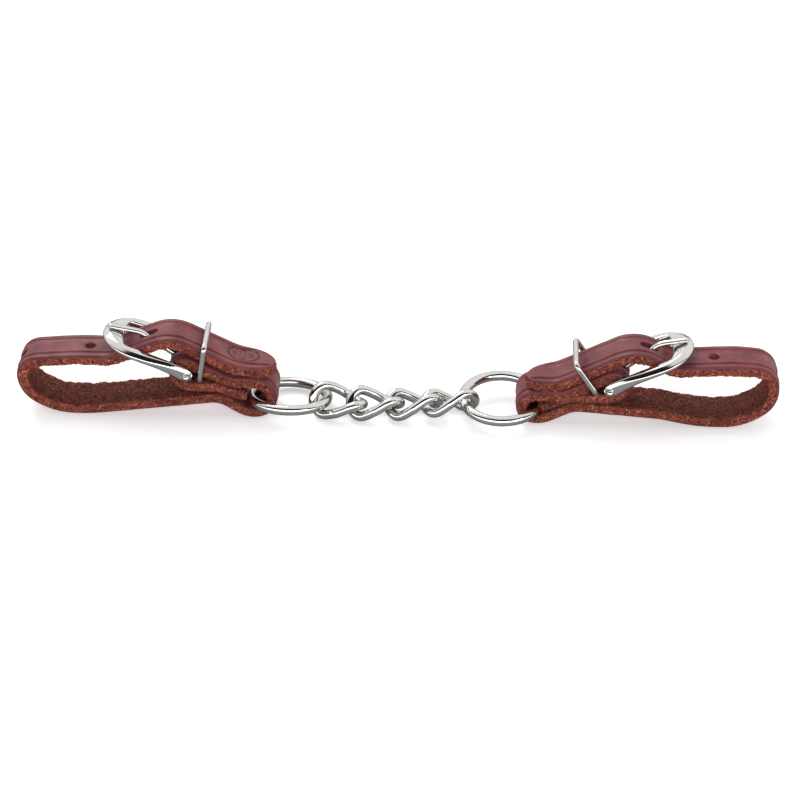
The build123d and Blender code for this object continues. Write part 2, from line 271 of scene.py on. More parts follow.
def tube(name: str, line: np.ndarray, wide: np.ndarray, high: np.ndarray, up: np.ndarray,
         closed: bool = False, sides: int = 28) -> bpy.types.Object:
    """Wire with an oval section along a line.

    Args:
        name: the piece's name.
        line: centre points.
        wide: half width of the section at each point, across the up direction.
        high: half height of the section at each point, along the up direction.
        up: the direction that the section's height keeps to, one row per point.
        closed: whether the wire joins up.
        sides: points round the section.

    Returns:
        The new object. An open wire has a flat cap at each end.
    """
    if closed:
        along = np.roll(line, -1, axis=0) - np.roll(line, 1, axis=0)
    else:
        along = np.gradient(line, axis=0)
    along /= np.linalg.norm(along, axis=1)[:, None]
    over = up - (up * along).sum(axis=1)[:, None] * along
    over /= np.linalg.norm(over, axis=1)[:, None]
    across = np.cross(along, over)
    angles = np.linspace(0, 2 * math.pi, sides, endpoint=False)
    points = (line[:, None] + (wide[:, None] * np.cos(angles))[..., None] * across[:, None]
              + (high[:, None] * np.sin(angles))[..., None] * over[:, None])
    faces = grid_faces(len(line), sides, closed)
    if not closed:
        faces += end_caps(len(line), sides)
    return make_mesh(name, points.reshape(-1, 3), faces)


def rounded_ends(line: np.ndarray, radius: float, rows: int = 7) -> tuple[np.ndarray, np.ndarray]:
    """Adds closely spaced points at both ends of a line, so that a wire ends in a dome.

    Args:
        line: centre points, whose ends are the domes' tips.
        radius: the wire's radius.
        rows: how many rings each dome has.

    Returns:
        The new line and the share of the full radius at each of its points.
    """
    length = arc_lengths(line)[-1]
    angles = np.linspace(0.12, math.pi / 2, rows)
    middle = np.linspace(radius, length - radius, max(2, int((length - 2 * radius) / 0.35)))[1:-1]
    dome = radius * (1 - np.cos(angles))
    at = np.concatenate([dome, middle, length - dome[::-1]])
    share = np.concatenate([np.sin(angles), np.ones(len(middle)), np.sin(angles)[::-1]])
    return resample(line, at), share


def lathe(name: str, profile: Sequence[tuple], centre: np.ndarray, sides: int = 40) -> bpy.types.Object:
    """Turned piece about an axis along Y.

    Args:
        name: the piece's name.
        profile: (y, radius) along the axis; a closed ring profile if it ends where it starts.
        centre: x, y and z of the axis's middle.
        sides: points round the axis.

    Returns:
        The new object.
    """
    table = np.array(profile, float)
    closed = bool(np.allclose(table[0], table[-1]))
    if closed:
        table = table[:-1]
    angles = np.linspace(0, 2 * math.pi, sides, endpoint=False)
    points = np.empty((len(table), sides, 3))
    points[..., 0] = table[:, 1:2] * np.cos(angles)
    points[..., 1] = table[:, 0:1]
    points[..., 2] = table[:, 1:2] * np.sin(angles)
    faces = grid_faces(len(table), sides, closed)
    if not closed:
        faces += end_caps(len(table), sides)
    return make_mesh(name, points.reshape(-1, 3) + centre, faces)


def joined(name: str, pieces: list) -> bpy.types.Object:
    """Joins finished pieces into one object with the first piece's materials."""
    with bpy.context.temp_override(active_object=pieces[0], selected_editable_objects=pieces,
                                   object=pieces[0], selected_objects=pieces):
        bpy.ops.object.join()
    pieces[0].name = name
    pieces[0].data.name = name
    return pieces[0]


def bake_modifiers(piece: bpy.types.Object) -> bpy.types.Object:
    """Replaces a piece's mesh with what its modifiers make of it, and removes them."""
    depsgraph = bpy.context.evaluated_depsgraph_get()
    result = bpy.data.meshes.new_from_object(piece.evaluated_get(depsgraph))
    piece.modifiers.clear()
    piece.data = result
    return piece


# ---- shader groups ---------------------------------------------------------------------
class NodeSheet:
    """Short way to place and join the nodes of one node tree."""

    def __init__(self, tree: bpy.types.NodeTree) -> None:
        """Keeps the tree that the nodes go into."""
        self.tree = tree

    def add(self, kind: str, values: dict | None = None, **settings: object) -> bpy.types.Node:
        """Adds a node.

        Args:
            kind: Blender's name for the node type.
            values: input name or number to a value, or to a socket that feeds it.
            settings: properties of the node itself.

        Returns:
            The new node.
        """
        node = self.tree.nodes.new(kind)
        for key, value in settings.items():
            setattr(node, key, value)
        return self.feed(node, values or {})

    def feed(self, node: bpy.types.Node, values: dict) -> bpy.types.Node:
        """Sets a node's inputs.

        Args:
            node: the node.
            values: input name or number to a value, or to a socket that feeds it.

        Returns:
            The same node.
        """
        for key, value in values.items():
            if isinstance(value, bpy.types.NodeSocket):
                self.tree.links.new(value, node.inputs[key])
            else:
                node.inputs[key].default_value = value
        return node

    def math(self, operation: str, *values: object) -> bpy.types.NodeSocket:
        """Result of one operation on numbers or sockets."""
        return self.add("ShaderNodeMath", dict(enumerate(values)), operation=operation).outputs[0]

    def bump(self, strength: float, distance: float, height: bpy.types.NodeSocket) -> bpy.types.NodeSocket:
        """Normal of a surface with fine relief of the given height."""
        values = {"Strength": strength, "Distance": distance, "Height": height}
        return self.add("ShaderNodeBump", values).outputs[0]

    def mix(self, share: object, first: object, second: object) -> bpy.types.NodeSocket:
        """Mixes two colours.

        Args:
            share: how much of the second colour shows.
            first: colour or socket.
            second: colour or socket.

        Returns:
            The mixed colour's socket.
        """
        values = {0: share, 6: first, 7: second}
        return self.add("ShaderNodeMix", values, data_type="RGBA").outputs[2]

    def spread(self, value: bpy.types.NodeSocket, low: float, high: float, to_low: float = 0.0,
               to_high: float = 1.0) -> bpy.types.NodeSocket:
        """Maps a value's range to another and clips it.

        Args:
            value: the socket to map.
            low: where the mapping starts.
            high: where it ends.
            to_low: result at low.
            to_high: result at high.

        Returns:
            The mapped value's socket.
        """
        node = self.add("ShaderNodeMapRange", {"Value": value, "From Min": low, "From Max": high,
                                               "To Min": to_low, "To Max": to_high})
        return node.outputs["Result"]


def new_group(name: str, inputs: Sequence[tuple], outputs: Sequence[tuple]) -> tuple:
    """Starts a shader group.

    Args:
        name: the group's name.
        inputs: (name, socket type, default) of each input.
        outputs: (name, socket type) of each output.

    Returns:
        The tree, its sheet, and its input and output nodes.
    """
    tree = bpy.data.node_groups.new(name, "ShaderNodeTree")
    for label, kind, default in inputs:
        tree.interface.new_socket(label, in_out="INPUT", socket_type=kind).default_value = default
    for label, kind in outputs:
        tree.interface.new_socket(label, in_out="OUTPUT", socket_type=kind)
    sheet = NodeSheet(tree)
    return tree, sheet, sheet.add("NodeGroupInput"), sheet.add("NodeGroupOutput")


def fibre_group() -> bpy.types.NodeTree:
    """Matted leather fibres: two colours with bright flecks, and their height.

    Returns:
        The shader group, with outputs Colour and Height.
    """
    tree, sheet, given, result = new_group(
        "fibre_mat",
        (("Dark", "NodeSocketColor", (0.05, 0.02, 0.015, 1)),
         ("Light", "NodeSocketColor", (0.3, 0.1, 0.06, 1)),
         ("Fleck", "NodeSocketColor", (0.6, 0.25, 0.12, 1)),
         ("Fleck Share", "NodeSocketFloat", 0.5),
         ("Scale", "NodeSocketFloat", 1600.0)),
        (("Colour", "NodeSocketColor"), ("Height", "NodeSocketFloat")))
    place = sheet.add("ShaderNodeTexCoord").outputs["Object"]
    scale = given.outputs["Scale"]
    clumps = sheet.add("ShaderNodeTexNoise", {"Vector": place, "Scale": scale, "Detail": 5.0,
                                              "Roughness": 0.72, "Distortion": 0.9})
    coarse_scale = sheet.math("MULTIPLY", scale, 0.22)
    patches = sheet.add("ShaderNodeTexNoise", {"Vector": place, "Scale": coarse_scale, "Detail": 2.0})
    fleck_scale = sheet.math("MULTIPLY", scale, 0.9)
    cells = sheet.add("ShaderNodeTexVoronoi", {"Vector": place, "Scale": fleck_scale, "Randomness": 1.0})
    tone = sheet.spread(clumps.outputs["Fac"], 0.40, 0.62)
    base = sheet.mix(tone, given.outputs["Dark"], given.outputs["Light"])
    shade = sheet.spread(patches.outputs["Fac"], 0.3, 0.7, 0.72, 1.25)
    shaded = sheet.add("ShaderNodeVectorMath", {0: base, "Scale": shade}, operation="SCALE")
    chosen = sheet.add("ShaderNodeSeparateColor", {0: cells.outputs["Color"]}).outputs[0]
    rare = sheet.spread(chosen, 0.80, 0.84)
    near = sheet.spread(cells.outputs["Distance"], 0.42, 0.16)
    fleck = sheet.math("MULTIPLY", sheet.math("MULTIPLY", rare, near), given.outputs["Fleck Share"])
    coloured = sheet.mix(fleck, shaded.outputs[0], given.outputs["Fleck"])
    sheet.feed(result, {"Colour": coloured, "Height": sheet.math("ADD", tone, fleck)})
    return tree


def handling_group() -> bpy.types.NodeTree:
    """Fine scuffs and cloudiness of a handled surface.

    Returns:
        The shader group, with outputs Cloud and Scuff.
    """
    tree, sheet, given, result = new_group(
        "handling_marks",
        (("Cloud Scale", "NodeSocketFloat", 60.0), ("Scuff Scale", "NodeSocketFloat", 900.0)),
        (("Cloud", "NodeSocketFloat"), ("Scuff", "NodeSocketFloat")))
    place = sheet.add("ShaderNodeTexCoord").outputs["Object"]
    cloud = sheet.add("ShaderNodeTexNoise", {"Vector": place, "Scale": given.outputs["Cloud Scale"],
                                             "Detail": 3.0})
    stretched = sheet.add("ShaderNodeMapping", {"Vector": place, "Scale": (0.25, 1.0, 1.0)})
    scuff = sheet.add("ShaderNodeTexNoise", {
        "Vector": stretched.outputs[0], "Scale": given.outputs["Scuff Scale"], "Detail": 4.0,
        "Roughness": 0.7})
    sheet.feed(result, {"Cloud": sheet.spread(cloud.outputs["Fac"], 0.3, 0.7),
                        "Scuff": sheet.spread(scuff.outputs["Fac"], 0.35, 0.75)})
    return tree


FIBRES = fibre_group()
HANDLING = handling_group()


def principled(name: str) -> tuple[bpy.types.Material, NodeSheet, bpy.types.Node]:
    """Starts a node material and hands back its sheet and its Principled shader."""
    material = bpy.data.materials.new(name)
    material.use_nodes = True
    sheet = NodeSheet(material.node_tree)
    return material, sheet, material.node_tree.nodes["Principled BSDF"]


# ---- finishes --------------------------------------------------------------------------
@dataclass(frozen=True)
class GrainFinish:
    """Smooth dyed grain side of latigo leather, with pressed lines darkened by painted shade, and a dull
    sheen.
    """

    name: str = "grain_leather"
    deep: tuple = (0.125, 0.022, 0.027, 1)
    light: tuple = (0.240, 0.058, 0.064, 1)
    # Dark colour of the painted shade in the pressed lines, hole dishes and badge; the burnished rim is also
    # mixed towards it.
    pressed: tuple = (0.014, 0.003, 0.004, 1)
    pore_scale: float = 2600.0
    grain_scale: float = 1100.0
    cloud_scale: float = 140.0
    scuff_scale: float = 1500.0
    smooth: float = 0.27
    worn: float = 0.42

    def build(self) -> bpy.types.Material:
        """Makes the material."""
        material, sheet, shader = principled(self.name)
        marks = sheet.add("ShaderNodeGroup", {"Cloud Scale": self.cloud_scale,
                                              "Scuff Scale": self.scuff_scale}, node_tree=HANDLING)
        place = sheet.add("ShaderNodeTexCoord").outputs["Object"]
        colour = sheet.mix(marks.outputs["Cloud"], self.deep, self.light)
        # Painted shade: the grain is darkened in its pressed lines, hole dishes and badge.
        press = sheet.add("ShaderNodeAttribute", attribute_name="press").outputs["Fac"]
        colour = sheet.mix(sheet.spread(press, 0.2, 1.0, 0.0, 0.92), colour, self.pressed)
        rim = sheet.add("ShaderNodeAttribute", attribute_name="rim").outputs["Fac"]
        colour = sheet.mix(sheet.spread(rim, 0.0, 1.0, 0.0, 0.45), colour, self.pressed)
        roughness = sheet.spread(marks.outputs["Scuff"], 0.0, 1.0, self.smooth, self.worn)
        pores = sheet.add("ShaderNodeTexVoronoi", {"Vector": place, "Scale": self.pore_scale})
        grain = sheet.add("ShaderNodeTexNoise", {"Vector": place, "Scale": self.grain_scale, "Detail": 4.0})
        height = sheet.math("MULTIPLY_ADD", pores.outputs["Distance"], 0.35, grain.outputs["Fac"])
        sheet.feed(shader, {
            "Base Color": colour, "Roughness": roughness, "Normal": sheet.bump(0.22, 0.0001, height),
            "Sheen Weight": 0.05, "Sheen Roughness": 0.45, "Sheen Tint": (0.95, 0.72, 0.76, 1),
            "Specular IOR Level": 0.24})
        return material


@dataclass(frozen=True)
class FibreFinish:
    """Raw leather: matted fibres on a cut edge or on the flesh side."""

    name: str
    dark: tuple
    light: tuple
    fleck: tuple
    fleck_share: float
    scale: float
    depth: float

    def build(self) -> bpy.types.Material:
        """Makes the material."""
        material, sheet, shader = principled(self.name)
        mat = sheet.add("ShaderNodeGroup", {
            "Dark": self.dark, "Light": self.light, "Fleck": self.fleck, "Fleck Share": self.fleck_share,
            "Scale": self.scale}, node_tree=FIBRES)
        sheet.feed(shader, {
            "Base Color": mat.outputs["Colour"], "Normal": sheet.bump(0.9, self.depth, mat.outputs["Height"]),
            "Roughness": 0.86, "Specular IOR Level": 0.25})
        return material


@dataclass(frozen=True)
class SteelFinish:
    """Polished steel hardware with faint handling marks."""

    name: str = "polished_steel"
    colour: tuple = (0.68, 0.67, 0.65, 1)
    dull: tuple = (0.56, 0.55, 0.535, 1)
    smooth: float = 0.05
    worn: float = 0.15
    cloud_scale: float = 220.0
    scuff_scale: float = 2400.0

    def build(self) -> bpy.types.Material:
        """Makes the material."""
        material, sheet, shader = principled(self.name)
        marks = sheet.add("ShaderNodeGroup", {"Cloud Scale": self.cloud_scale,
                                              "Scuff Scale": self.scuff_scale}, node_tree=HANDLING)
        cloud, scuff = marks.outputs["Cloud"], marks.outputs["Scuff"]
        colour = sheet.mix(sheet.spread(cloud, 0.0, 1.0, 0.0, 0.5), self.colour, self.dull)
        rough = sheet.spread(sheet.math("MULTIPLY", cloud, scuff), 0.0, 0.7, self.smooth, self.worn)
        sheet.feed(shader, {"Base Color": colour, "Roughness": rough, "Metallic": 1.0,
                            "Normal": sheet.bump(0.05, 0.00005, scuff)})
        return material


@dataclass(frozen=True)
class Finishes:
    """Every finish of the object, made once."""

    grain: bpy.types.Material
    cut: bpy.types.Material
    flesh: bpy.types.Material
    nap: bpy.types.Material
    steel: bpy.types.Material

    @classmethod
    def make(cls) -> "Finishes":
        """Builds all the materials."""
        cut = FibreFinish("cut_leather", (0.045, 0.009, 0.007, 1), (0.700, 0.180, 0.115, 1),
                          (0.95, 0.45, 0.26, 1), 0.95, 950.0, 0.0010)
        flesh = FibreFinish("flesh_leather", (0.042, 0.011, 0.009, 1), (0.400, 0.112, 0.078, 1),
                            (0.60, 0.22, 0.12, 1), 0.8, 950.0, 0.0008)
        nap = FibreFinish("leather_nap", (0.14, 0.032, 0.020, 1), (0.50, 0.14, 0.08, 1),
                          (0.85, 0.36, 0.18, 1), 0.8, 900.0, 0.0001)
        return cls(GrainFinish().build(), cut.build(), flesh.build(), nap.build(), SteelFinish().build())


# ---- leather ---------------------------------------------------------------------------
@dataclass(frozen=True)
class StrapEnd:
    """One end of the strap, drawn outwards from the middle (u) and up (z), in millimetres."""

    side: Side
    ring_middle: tuple
    ring_angles: tuple
    ring_hinge: tuple
    fold_nose: float
    fold_room: float
    bar_at: tuple
    heel_nose: float
    heel_slope: float
    inner_ply: tuple
    inner_thickness: tuple
    bottom_corners: tuple
    loop_corners: tuple
    arch_corners: tuple
    tip_end: float
    tip_height: float
    hole_from_tip: float
    frame_slope: float
    tongue_bend: tuple
    keeper_at: tuple
    keeper_tilt: float
    stamped: bool

    def place(self, points: np.ndarray) -> np.ndarray:
        """Turns points drawn as (u, y, z) to this end's side."""
        return points * np.array((self.side.value, 1, 1))

    def corners(self) -> list:
        """Corners (u, z, radius) of the leather's centreline, from the inner ply to the tip."""
        half = LEATHER / 2
        ply_height = LEATHER + self.fold_room + half
        slope = math.tan(math.radians(self.heel_slope))
        over_bar = np.array(self.bar_at) + unit(90 + self.heel_slope) * BAR_TO_PLY
        heel_top = over_bar[1] + slope * (self.heel_nose - over_bar[0])
        slope_foot = over_bar[0] - (over_bar[1] - ply_height) / slope
        last, before = self.inner_ply[-1], self.inner_ply[-2]
        lean = (last[1] - before[1]) / (last[0] - before[0])
        heel_bottom = last[1] + lean * (self.heel_nose - last[0])
        reach = BAR_TO_PLY * math.tan(math.radians(90 + self.heel_slope) / 2)
        nose = self.fold_nose + half
        fold_radius = (self.fold_room + LEATHER) / 2 - 0.02
        line = [(u, z, 12.0) for u, z in self.inner_ply[:-1]]
        line += [(self.heel_nose, heel_bottom, 0.97 * (heel_top - heel_bottom - reach))]
        line += [(self.heel_nose, heel_top, BAR_TO_PLY), (slope_foot, ply_height, 12.0)]
        line += [(nose, ply_height, fold_radius), (nose, half, fold_radius)]
        line += [(u, half + rise, radius) for u, rise, radius in self.bottom_corners]
        line += [*self.loop_corners, *self.arch_corners, (self.tip_end, self.tip_height, 0)]
        return line


LEFT_END = StrapEnd(
    side=Side.LEFT,
    ring_middle=(41.4, -0.6, 5.61),
    ring_angles=(-10.8, 1.4),
    ring_hinge=(55.3, 5.95),
    fold_nose=45.3,
    fold_room=9.7,
    bar_at=(79.6, 19.6),
    heel_nose=84.9,
    heel_slope=28.0,
    inner_ply=((57.0, 9.5), (60.6, 9.8), (68.4, 13.0), (75.0, 13.1)),
    inner_thickness=(3.9, 3.8, 3.8, LEATHER),
    bottom_corners=((57.3, 0.0, 8.0), (67.6, 6.5, 9.0), (117.0, 0.0, 60.0)),
    loop_corners=((130.5, 2.0, 25.0), (143.1, 9.9, 11.8), (143.1, 22.7, 6.2), (123.0, 24.5, 60.0)),
    arch_corners=((107.8, 24.5, 16.0), (85.6, 34.0, 13.0), (60.6, 21.0, 16.0)),
    tip_end=46.2,
    tip_height=20.3,
    hole_from_tip=49.5,
    frame_slope=23.5,
    tongue_bend=(97.8, 32.9),
    keeper_at=(74.8, 17.0),
    keeper_tilt=9.0,
    stamped=True,
)

RIGHT_END = StrapEnd(
    side=Side.RIGHT,
    ring_middle=(40.1, -0.3, 6.49),
    ring_angles=(3.9, 0.0),
    ring_hinge=(54.0, 6.49),
    fold_nose=45.4,
    fold_room=6.8,
    bar_at=(80.9, 16.8),
    heel_nose=86.8,
    heel_slope=27.0,
    inner_ply=((54.6, 7.2), (57.5, 7.6), (66.5, 11.4), (76.0, 11.6)),
    inner_thickness=(3.2, 2.8, 2.8, LEATHER),
    bottom_corners=((56.1, 0.0, 8.0), (67.3, 5.8, 9.0), (101.5, 2.95, 40.0), (114.3, 0.0, 50.0)),
    loop_corners=((131.2, 2.0, 22.0), (143.0, 10.6, 11.0), (143.0, 24.7, 7.6), (128.0, 25.8, 60.0)),
    arch_corners=((104.4, 24.3, 14.0), (90.5, 32.3, 14.0), (61.5, 17.2, 12.0)),
    tip_end=49.3,
    tip_height=17.0,
    hole_from_tip=49.5,
    frame_slope=27.0,
    tongue_bend=(99.5, 32.3),
    keeper_at=(76.0, 15.05),
    keeper_tilt=33.0,
    stamped=False,
)


@dataclass(frozen=True)
class Badge:
    """Plain badge pressed near a tip: an oval line round a four-petalled flower."""

    from_tip: float = 13.0
    aside: float = 0.6
    half_length: float = 6.6
    half_width: float = 4.4
    line_width: float = 0.42
    petal_length: float = 3.1
    petal_line: float = 0.38
    stretch: float = 1.35
    heart: float = 0.6
    depth: float = 0.36

    def pressed(self, along: np.ndarray, y: np.ndarray) -> np.ndarray:
        """How far the leather is pressed in.

        Args:
            along: distance from the badge's middle along the strap.
            y: place across the strap.

        Returns:
            Share of the badge's depth, between 0 and 1.
        """
        across = y - self.aside
        oval = np.sqrt((along / self.half_length) ** 2 + (across / self.half_width) ** 2)
        ring = np.exp(-(((oval - 1) * 5.0) / self.line_width) ** 2)
        reach = np.sqrt((along / self.stretch) ** 2 + across**2)
        angle = np.arctan2(across, along / self.stretch)
        petal = self.petal_length * np.abs(np.cos(2 * angle)) ** 0.8
        flower = np.exp(-((reach - petal) / self.petal_line) ** 2) * (reach > self.heart)
        inside = 0.3 / (1 + np.exp((oval - 1) * 14))
        return np.maximum(np.maximum(ring, flower), inside)


@dataclass
class LeatherStrap:
    """A strap end: plies, folds, loop, arch and tip of one continuous length of leather."""

    end: StrapEnd
    finishes: Finishes
    step: float = 0.6
    fine_step: float = 0.32
    across_count: int = 50
    flesh_count: int = 24
    side_count: int = 8
    edge_round: float = 0.85
    crease_inset: float = 3.0
    crease_depth: float = 0.42
    crease_width: float = 0.45
    shoulder_inset: float = 0.95
    shoulder_height: float = 0.18
    shoulder_width: float = 0.5
    edge_fall: float = 0.25
    dish_depth: float = 0.30
    dish_width: float = 0.55
    wander: float = 0.05
    ragged: float = 0.15
    coarse: float = 0.12
    line_step: float = 0.2
    line_softness: float = 6.0
    tip_length: float = 20.0
    tip_bow: float = 2.0
    tip_aside: float = -2.6
    far_taper: float = 16.0
    near_taper: float = 7.5
    ring_room: float = 0.3
    punch_reach: float = 3.4
    tongue_hole_radius: float = 1.9
    tongue_hole_straight: float = 1.4
    tongue_hole_shift: float = 1.5
    tongue_hole_behind: float = 14.0
    tongue_hole_beyond: float = 5.0
    eye_slot_half: float = 2.05
    eye_slot_room: float = 4.0
    badge: Badge = Badge()
    seed: int = 11

    def centreline(self) -> tuple[np.ndarray, np.ndarray]:
        """The leather's centre in the side view.

        Returns:
            Distances along the leather and the (u, z) points there, close together near the tip.
        """
        line = even_chain(rounded_chain(self.end.corners()), self.line_step)
        line = soften(line, self.line_softness)
        line = even_chain(line, self.line_step)
        length = arc_lengths(line)[-1]
        body = np.arange(0.0, length - self.tip_length, self.step)
        fore = np.arange(length - self.tip_length, length - self.tip_bow, self.fine_step)
        bow = length - self.tip_bow * (1 - np.sin(np.linspace(0, math.pi / 2, 10)))
        at = np.concatenate([body, fore, bow[1:]])
        return at, resample(line, at)

    def half_thickness(self, at: np.ndarray) -> np.ndarray:
        """Half of the leather's thickness at each distance along it."""
        knots = arc_lengths(np.array(self.end.inner_ply, float))
        return np.interp(at, knots, np.array(self.end.inner_thickness) / 2)

    def section(self) -> tuple[np.ndarray, np.ndarray, np.ndarray, np.ndarray, np.ndarray]:
        """Points round the section of the leather.

        Returns:
            For each point: its share of the inner half width, its extra reach past that in edge
            roundings, its height as a share of half the thickness, how far it is lowered in edge
            roundings, and its surface.
        """
        angles = np.linspace(0, math.pi / 2, 5)[1:]
        across = np.linspace(-1, 1, self.across_count)
        rows = [(t, 0.0, 1.0, 0.0, Leather.GRAIN.value) for t in across]
        rows += [(1.0, math.sin(a), 1.0, 1 - math.cos(a), Leather.GRAIN.value) for a in angles]
        levels = np.linspace(1, 0, self.side_count + 1)[1:]
        rows += [(1.0, 1.0, 2 * level - 1, level, Leather.CUT.value) for level in levels]
        back = np.linspace(1, -1, self.flesh_count)
        rows += [(t, t * 0.8, -1.0, 0.0, Leather.FLESH.value) for t in back[1:-1]]
        rows += [(-1.0, -1.0, 2 * level - 1, level, Leather.CUT.value) for level in levels[::-1]]
        rows += [(-1.0, -math.sin(a), 1.0, 1 - math.cos(a), Leather.GRAIN.value) for a in angles[::-1]]
        table = np.array(rows)
        return table[:, 0], table[:, 1], table[:, 2], table[:, 3], table[:, 4].astype(int)

    def outline(self, at: np.ndarray, length: float) -> tuple[np.ndarray, np.ndarray]:
        """Where the two edges run. The tip is trimmed long on the far side and short on the near one.

        Args:
            at: distances along the strap.
            length: the strap's whole length.

        Returns:
            Place of the near edge and of the far edge across the strap.
        """
        far_in = np.clip((at - length + self.far_taper) / self.far_taper, 0, 0.9999)
        near_in = np.clip((at - length + self.near_taper) / self.near_taper, 0, 0.9999)
        far = self.tip_aside + (HALF_WIDTH - self.tip_aside) * np.sqrt(1 - far_in**2)
        near = self.tip_aside - (HALF_WIDTH + self.tip_aside) * np.sqrt(1 - near_in**2)
        return near, far

    def relief(self, at: np.ndarray, y: np.ndarray, length: float) -> tuple[np.ndarray, np.ndarray]:
        """What is pressed into the grain: edge lines, dished holes and the badge.

        Args:
            at: distance along the strap.
            y: place across the strap.
            length: the strap's whole length.

        Returns:
            Height change in millimetres, and how much painted shade darkens the pressed surface there, 0 to
            1.
        """
        near, far = self.outline(at, length)
        inset = np.minimum(far - y, y - near)
        from_edge = HALF_WIDTH - np.abs(y)
        clear = np.clip((inset - 0.8) / 1.2, 0, 1)
        crease = np.exp(-(((from_edge - self.crease_inset) / self.crease_width) ** 2)) * clear
        inner = self.crease_inset + self.shoulder_inset
        shoulder = np.exp(-(((from_edge - inner) / self.shoulder_width) ** 2)) * clear
        outer = np.clip((self.crease_inset - 0.7 - inset) / self.crease_inset, 0, 1)
        height = -self.crease_depth * crease + self.shoulder_height * shoulder - self.edge_fall * outer**1.5
        # The second value darkens the grain's colour: painted shade in the crease grooves, the hole dishes
        # and the badge.
        press = 0.72 * crease
        first_hole = length - self.end.hole_from_tip
        for number in (1, 2):
            reach = np.sqrt((at - first_hole + number * HOLE_SPACING) ** 2 + y**2)
            dish = np.exp(-(((reach - HOLE_RADIUS) / self.dish_width) ** 2))
            height -= self.dish_depth * dish
            press = np.maximum(press, 0.8 * dish)
        if self.end.stamped:
            badge = self.badge.pressed(at - (length - self.badge.from_tip), y)
            height -= self.badge.depth * badge
            press = np.maximum(press * (1 - 0.8 * (badge > 0.2)), 0.95 * badge)
        return height, press

    def bed_ring(self, points: np.ndarray) -> np.ndarray:
        """Presses the leather away from the ring that it holds.

        Args:
            points: (u, y, z) of the leather.

        Returns:
            The points, moved clear of the ring's wire.
        """
        roll, pitch = self.end.ring_angles
        lying = turned(roll, self.end.side.value * pitch, 0)
        hinge = np.array((self.end.ring_hinge[0], 0.0, self.end.ring_hinge[1]))
        clear = RING_WIRE / 2 + self.ring_room
        for swing in RING_SWINGS:
            swung = turned(0, swing, 0)
            turn = swung @ lying
            middle = swung @ (np.array(self.end.ring_middle) - hinge) + hinge
            local = (points - middle) @ turn
            reach = np.linalg.norm(local[:, :2], axis=1)
            nearest = np.zeros_like(local)
            nearest[:, :2] = local[:, :2] / reach[:, None] * RING_RADIUS
            away = local - nearest
            distance = np.linalg.norm(away, axis=1)
            moved = (distance**8 + clear**8) ** (1 / 8)
            points = points + (away * (moved / distance - 1)[:, None]) @ turn.T
        return points

    def shell(self) -> bpy.types.Object:
        """The leather without its holes."""
        at, centre = self.centreline()
        length = float(at[-1])
        slope = np.gradient(centre, at, axis=0)
        slope /= np.linalg.norm(slope, axis=1)[:, None]
        normal = np.stack([slope[:, 1], -slope[:, 0]], axis=1)
        share, past, level, lowered, surface = self.section()
        rows, columns = len(at), len(share)
        near, far = (edge[:, None] for edge in self.outline(at, length))
        wide = np.maximum((far - near) / 2, 0.15)
        rounding = np.minimum(self.edge_round, 0.6 * wide)
        half = self.half_thickness(at)[:, None]
        y = (near + far) / 2 + share * (wide - rounding) + past * rounding
        lift = level * half - lowered * np.minimum(rounding, 0.8)
        along = np.repeat(at[:, None], columns, axis=1)
        grain = surface == Leather.GRAIN.value
        height, press = self.relief(along, y, length)
        plain = centre[:, None] + lift[..., None] * normal[:, None]
        spots = np.stack([plain[..., 0], y, plain[..., 1]], axis=2).reshape(-1, 3)
        wander = ripple(spots, 9.0, self.seed).reshape(rows, columns)
        rng = np.random.default_rng(self.seed + self.end.side.value)
        ragged = soften(rng.normal(size=(rows, columns)), 0.8) * 1.4
        coarse = ripple(spots, 2.2, self.seed + 3).reshape(rows, columns)
        lift = lift + np.where(grain, height + self.wander * wander, 0)
        rough = self.ragged * ragged + self.coarse * coarse
        flesh = surface == Leather.FLESH.value
        lift = lift - np.where(flesh, rough, 0)
        low = np.clip(-level, 0, 1)
        edge = (surface == Leather.CUT.value) * (0.35 + 0.65 * low)
        y = y + np.sign(past) * edge * rough * (wide > 2)
        lift = lift - edge * low * 0.8 * rough
        flat = centre[:, None] + lift[..., None] * normal[:, None]
        points = np.stack([flat[..., 0], y, flat[..., 1]], axis=2).reshape(-1, 3)
        points = self.bed_ring(points)
        points[:, 2] = np.maximum(points[:, 2], 0.02)
        faces = grid_faces(rows, columns, False) + end_caps(rows, columns)
        beside = np.roll(surface, -1)
        raw = (surface == Leather.CUT.value) | (beside == Leather.CUT.value)
        slots = np.tile(np.where(raw, Leather.CUT.value, np.maximum(surface, beside)), rows - 1).tolist()
        slots += [Leather.CUT.value] * 2
        piece = make_mesh(f"{self.end.side.word}_leather", self.end.place(points), faces, slots)
        # Painted shade for the grain's colour in the pressed grooves, hole dishes and badge.
        pressed = piece.data.attributes.new("press", "FLOAT", "POINT")
        pressed.data.foreach_set("value", np.where(grain, press, 0).reshape(-1).astype(np.float32))
        rim = piece.data.attributes.new("rim", "FLOAT", "POINT")
        burnish = np.clip(1 - np.minimum(far - y, y - near) / 1.1, 0, 1) * grain
        rim.data.foreach_set("value", burnish.reshape(-1).astype(np.float32))
        return piece

    def prism(self, outline: np.ndarray, middle: np.ndarray, axis: np.ndarray, reach: tuple) -> tuple:
        """A straight cutter.

        Args:
            outline: (across the side view, y) points round the cutter.
            middle: (u, z) of the cutter's axis.
            axis: its direction in the side view.
            reach: how far it runs back and forward along the axis.

        Returns:
            Its points and faces.
        """
        beside = np.array((-axis[1], axis[0]))
        rings = []
        for along in reach:
            flat = middle + axis * along + outline[:, :1] * beside
            rings.append(np.stack([flat[:, 0], outline[:, 1], flat[:, 1]], axis=1))
        count = len(outline)
        faces = grid_faces(2, count, False)
        faces += [tuple(range(count - 1, -1, -1)), tuple(range(count, 2 * count))]
        return np.concatenate(rings), faces

